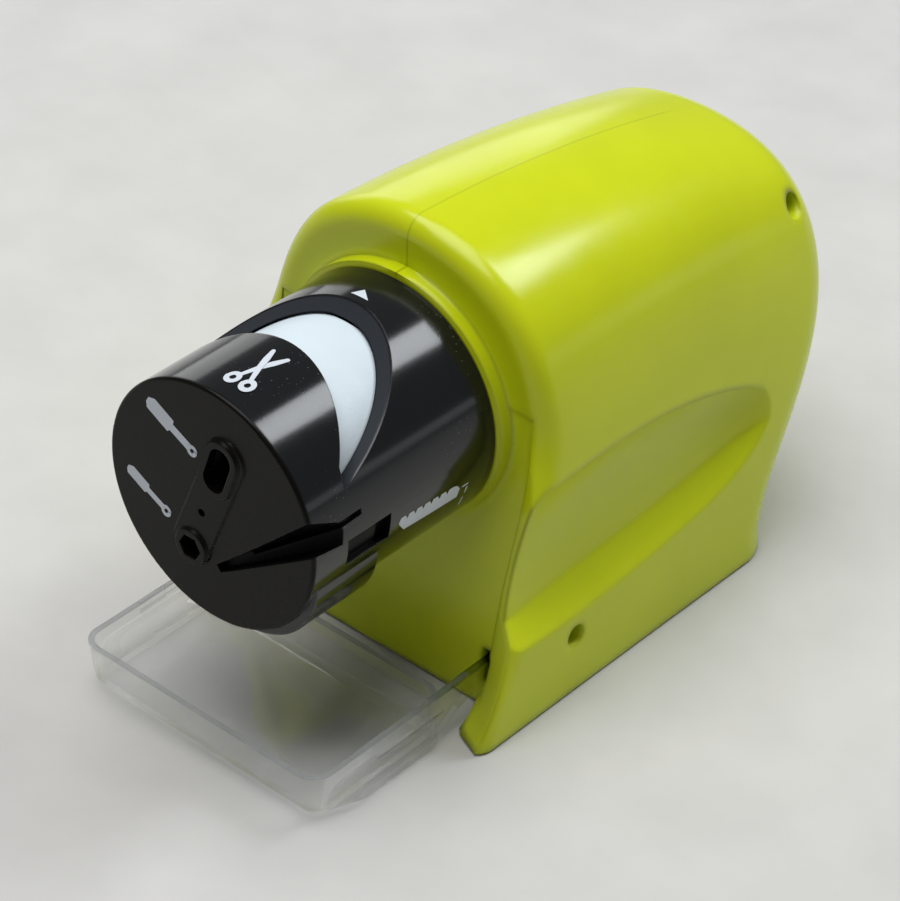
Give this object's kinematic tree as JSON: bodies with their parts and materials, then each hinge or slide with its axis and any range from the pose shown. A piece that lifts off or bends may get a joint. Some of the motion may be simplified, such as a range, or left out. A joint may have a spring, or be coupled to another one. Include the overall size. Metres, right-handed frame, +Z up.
{
  "type": "cordless motorised sharpener",
  "caption": "Free-standing battery sharpener: vaulted body, round motor-driven sharpening head with blade slots over a clear tray for the dust.",
  "frame": {"origin": "on the table, under the middle of the object's bounding box", "axes": "+Z up, -Y the front with the sharpening head, +X the object's right side seen from behind it"},
  "size_m": [0.0892, 0.172, 0.1023],
  "materials": {
    "housing": "glossy lime green moulding",
    "head_plastic": "semi-gloss black moulding",
    "black_plastic": "matt black moulding",
    "grey_plastic": "grey moulding",
    "button_plastic": "glossy black moulding",
    "clear_plastic": "clear polystyrene",
    "abrasive": "white bonded abrasive",
    "foot_rubber": "soft black rubber",
    "cell_jacket": "printed cell jacket",
    "screw_steel": "zinc plated steel",
    "nickel_steel": "nickel plated steel",
    "core_steel": "sheet steel",
    "magnet": "ferrite",
    "copper": "copper",
    "wire_black": "insulated wire",
    "wire_red": "insulated wire",
    "wire_blue": "insulated wire"
  },
  "bodies": {
    "base": {"right_shell": "housing", "left_shell": "housing", "shell_screws": "screw_steel", "foot_pads": "foot_rubber", "battery_box": "black_plastic", "cell_1": "cell_jacket", "cell_2": "cell_jacket", "cell_3": "cell_jacket", "cell_4": "cell_jacket", "battery_springs": "nickel_steel", "contact_front": "nickel_steel", "contact_rear": "nickel_steel", "motor_can": "nickel_steel", "motor_magnets": "magnet", "motor_end_cap": "black_plastic", "motor_brushes": "copper", "motor_terminals": "copper", "motor_bracket": "core_steel", "motor_screws": "screw_steel", "button_spring": "nickel_steel", "switch_body": "black_plastic", "switch_holder": "grey_plastic", "switch_terminals": "copper", "wire_black": "wire_black", "wire_red": "wire_red", "wire_link": "wire_blue"},
    "head_ring": {"head_ring": "black_plastic"},
    "head": {"head_shell": "head_plastic"},
    "rotor": {"grinding_wheel": "abrasive", "wheel_hub": "grey_plastic", "hub_screw": "screw_steel", "rotor_shaft": "screw_steel", "armature": "core_steel", "armature_windings": "copper", "commutator": "copper"},
    "tray": {"catch_tray": "clear_plastic"},
    "button": {"push_button": "button_plastic"},
    "door": {"battery_door": "housing"}
  },
  "joints": [
    {"name": "head_turn", "type": "hinge", "parent": "base", "child": "head_ring", "pos_m": [0, 0, 0.062], "axis": [0, 1, 0], "range_deg": [0, 30]},
    {"name": "head_pull", "type": "slide", "parent": "head_ring", "child": "head", "axis": [0, -1, 0], "range_m": [0, 0.062]},
    {"name": "wheel_spin", "type": "hinge", "parent": "base", "child": "rotor", "pos_m": [0, 0, 0.062], "axis": [0, 1, 0], "continuous": true},
    {"name": "tray_slide", "type": "slide", "parent": "base", "child": "tray", "axis": [0, -1, 0], "range_m": [0, 0.03]},
    {"name": "button_press", "type": "slide", "parent": "base", "child": "button", "axis": [0, -1, 0], "range_m": [0, 0.0025], "stiffness_N_per_m": 800, "deforming": ["button_spring"]},
    {"name": "door_off", "type": "slide", "parent": "base", "child": "door", "axis": [0, 0, -1], "range_m": [0, 0.02]}
  ]
}
